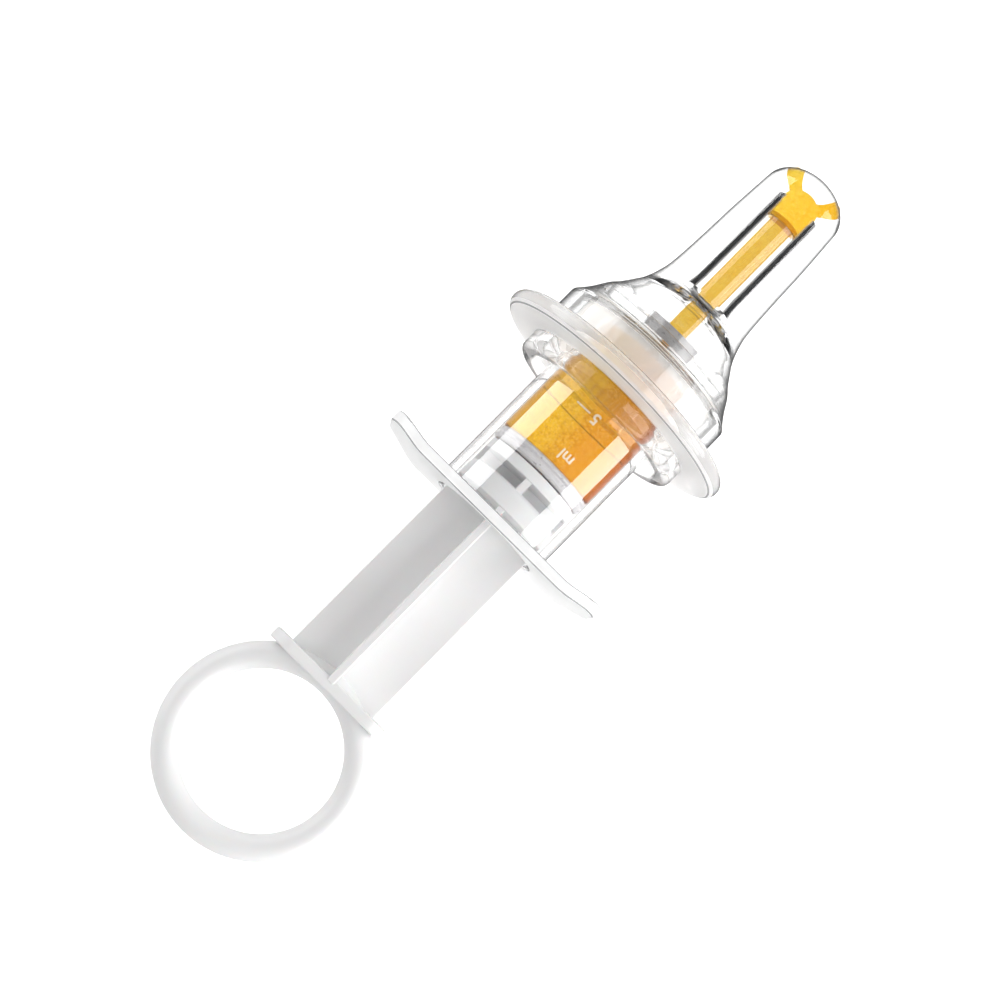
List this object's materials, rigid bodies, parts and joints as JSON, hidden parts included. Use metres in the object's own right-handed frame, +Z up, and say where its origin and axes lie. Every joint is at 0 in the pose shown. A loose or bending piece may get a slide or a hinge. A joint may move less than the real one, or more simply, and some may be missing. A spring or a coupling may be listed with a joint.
{
  "type": "medicine dropper",
  "caption": "Syringe-like medicine dropper with a clear barrel, a nipple tip behind a round mouth shield, and a plunger that ends in a finger ring.",
  "frame": {"origin": "bottom centre of the box around the dropper as it lies at rest, on the table", "axes": "+X runs from the finger ring to the nipple, and the dropper's own axis rises from it by 12.16 degrees; +Y runs along the finger flange; +Z is up"},
  "size_m": [0.1478, 0.0472, 0.0462],
  "materials": {
    "clear_barrel": "clear, polished",
    "clear_shield": "clear, polished",
    "clear_silicone": "clear silicone",
    "grey_silicone": "translucent silicone",
    "white_plastic": "satin white",
    "dose": "amber liquid"
  },
  "bodies": {
    "barrel": {"barrel": "clear_barrel"},
    "cap": {"mouth_shield": "clear_shield", "nipple": "clear_silicone", "nozzle_insert": "clear_barrel", "nozzle_seal": "grey_silicone"},
    "seal": {"piston_seal": "grey_silicone"},
    "plunger": {"plunger": "white_plastic"}
  },
  "joints": [
    {"name": "plunger_slide", "type": "slide", "parent": "barrel", "child": "seal", "axis": [0.9776, 0, 0.2106], "range_m": [0, 0.0236]},
    {"name": "plunger_turn", "type": "hinge", "parent": "seal", "child": "plunger", "pos_m": [-0.00622, 0, 0.01657], "axis": [0.9776, 0, 0.2106], "continuous": true},
    {"name": "cap_pull", "type": "slide", "parent": "barrel", "child": "cap", "axis": [0.9776, 0, 0.2106], "range_m": [0, 0.016]}
  ]
}
